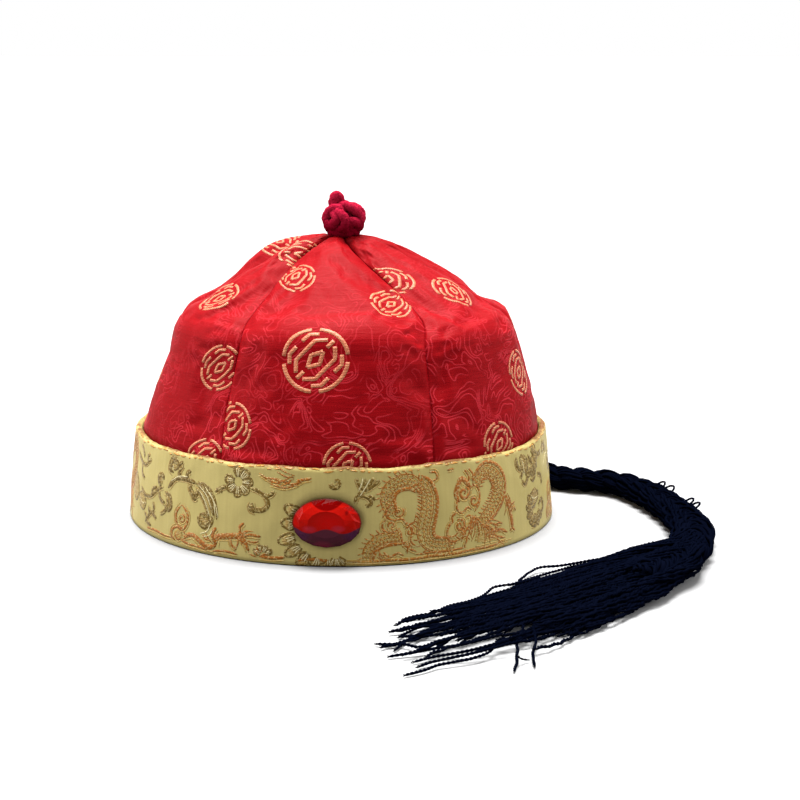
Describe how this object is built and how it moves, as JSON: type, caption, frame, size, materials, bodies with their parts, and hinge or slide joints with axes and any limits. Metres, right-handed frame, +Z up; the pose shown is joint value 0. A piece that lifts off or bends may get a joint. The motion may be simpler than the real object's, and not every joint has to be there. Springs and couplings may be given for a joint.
{
  "type": "chinese skullcap with braid",
  "caption": "Six-gore brocade skullcap with a turned-up band, an oval stone at the front, a cord button knot and a long plaited braid at the back.",
  "frame": {"origin": "under the middle of the hat's own box, stone included, on the surface that it stands on", "axes": "+Z up through the knot, -Y out of the front with the stone, +X to the wearer's left, which is the viewer's right from the front"},
  "size_m": [0.2569, 0.3424, 0.1434],
  "materials": {
    "red_brocade": "satin brocade with woven gold roundels",
    "cream_brocade": "satin brocade with woven gold and brown figures",
    "black_lining": "matt black cloth",
    "red_stone": "polished, foil backed",
    "crimson_cord": "matt twisted cord",
    "black_yarn": "matt crimped yarn"
  },
  "bodies": {
    "root": {"crown_gore_front": "red_brocade", "crown_gore_front_right": "red_brocade", "crown_gore_back_right": "red_brocade", "crown_gore_back": "red_brocade", "crown_gore_back_left": "red_brocade", "crown_gore_front_left": "red_brocade", "band": "cream_brocade", "lining_edge": "black_lining", "stone": "red_stone", "button_knot": "crimson_cord", "braid": "black_yarn", "braid_tail": "black_yarn"}
  },
  "joints": []
}
